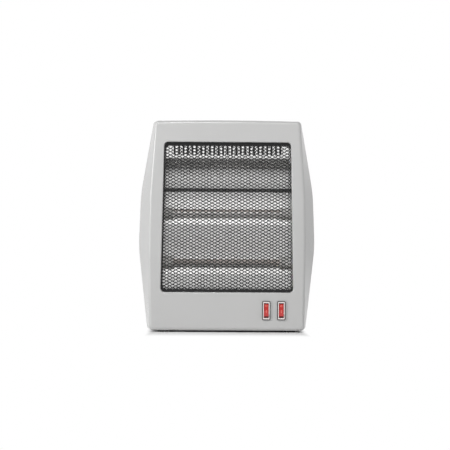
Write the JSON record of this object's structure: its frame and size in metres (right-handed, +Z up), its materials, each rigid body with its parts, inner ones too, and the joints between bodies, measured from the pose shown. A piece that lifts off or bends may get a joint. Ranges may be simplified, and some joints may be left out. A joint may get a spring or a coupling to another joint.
{
  "type": "quartz heater",
  "caption": "Free-standing quartz heater: tapered pale grey case with bulging sides, meshed window over a bright reflector with quartz tubes, and rocker switches.",
  "frame": {"origin": "floor level, at the middle of the heater's outline seen from above", "axes": "+Z up, -Y out of the front through the mesh window, +X to the right as seen from the front"},
  "size_m": [0.2882, 0.1306, 0.3446],
  "materials": {
    "case_plastic": "satin",
    "guard_metal": "satin black",
    "bright_sheet": "bright rolled",
    "zinc_steel": "zinc plated",
    "quartz": "satin milky",
    "coil_wire": "oxidised",
    "ceramic": "bisque",
    "bezel_plastic": "gloss",
    "red_plastic": "translucent",
    "black_plastic": "satin",
    "white_plastic": "satin",
    "brass": "plain",
    "rubber": "matte",
    "lead_insulation": "glass braid"
  },
  "bodies": {
    "case": {"case_screws": "zinc_steel", "cord_gland": "black_plastic", "cutout_lead": "lead_insulation", "feed_lead": "lead_insulation", "front_frame": "case_plastic", "front_left_foot": "rubber", "front_right_foot": "rubber", "gland_nut": "black_plastic", "guard_clips": "zinc_steel", "left_end_plate": "zinc_steel", "left_switch_body": "bezel_plastic", "left_switch_tabs": "brass", "live_lead": "lead_insulation", "lower_heating_coil": "coil_wire", "lower_left_ceramic": "ceramic", "lower_neutral_lead": "lead_insulation", "lower_quartz_tube": "quartz", "lower_right_ceramic": "ceramic", "lower_tube_lead": "lead_insulation", "mesh_guard": "guard_metal", "plate_screws": "zinc_steel", "rear_left_foot": "rubber", "rear_right_foot": "rubber", "rear_shell": "case_plastic", "reflector": "bright_sheet", "right_end_plate": "zinc_steel", "right_switch_body": "bezel_plastic", "right_switch_tabs": "brass", "switch_link": "brass", "terminal_block": "white_plastic", "terminal_screws": "brass", "thermal_cutout": "zinc_steel", "tip_housing": "black_plastic", "tip_microswitch": "black_plastic", "tip_spring": "zinc_steel", "tube_terminals": "zinc_steel", "upper_heating_coil": "coil_wire", "upper_left_ceramic": "ceramic", "upper_neutral_lead": "lead_insulation", "upper_quartz_tube": "quartz", "upper_right_ceramic": "ceramic", "upper_tube_lead": "lead_insulation", "vent_panel": "bright_sheet"},
    "left_rocker": {"left_rocker": "red_plastic"},
    "right_rocker": {"right_rocker": "red_plastic"},
    "tip_plunger": {"tip_plunger": "black_plastic"}
  },
  "joints": [
    {"name": "left_rocker_hinge", "type": "hinge", "parent": "case", "child": "left_rocker", "pos_m": [0.064, -0.05865, 0.036], "axis": [1, 0, 0], "range_deg": [0, 16]},
    {"name": "right_rocker_hinge", "type": "hinge", "parent": "case", "child": "right_rocker", "pos_m": [0.0885, -0.05865, 0.036], "axis": [1, 0, 0], "range_deg": [0, 16]},
    {"name": "tip_plunger_slide", "type": "slide", "parent": "case", "child": "tip_plunger", "axis": [0, 0, 1], "range_m": [-0.005, 0], "stiffness_N_per_m": 60, "springref_m": -0.008, "deforming": ["tip_spring"]}
  ]
}
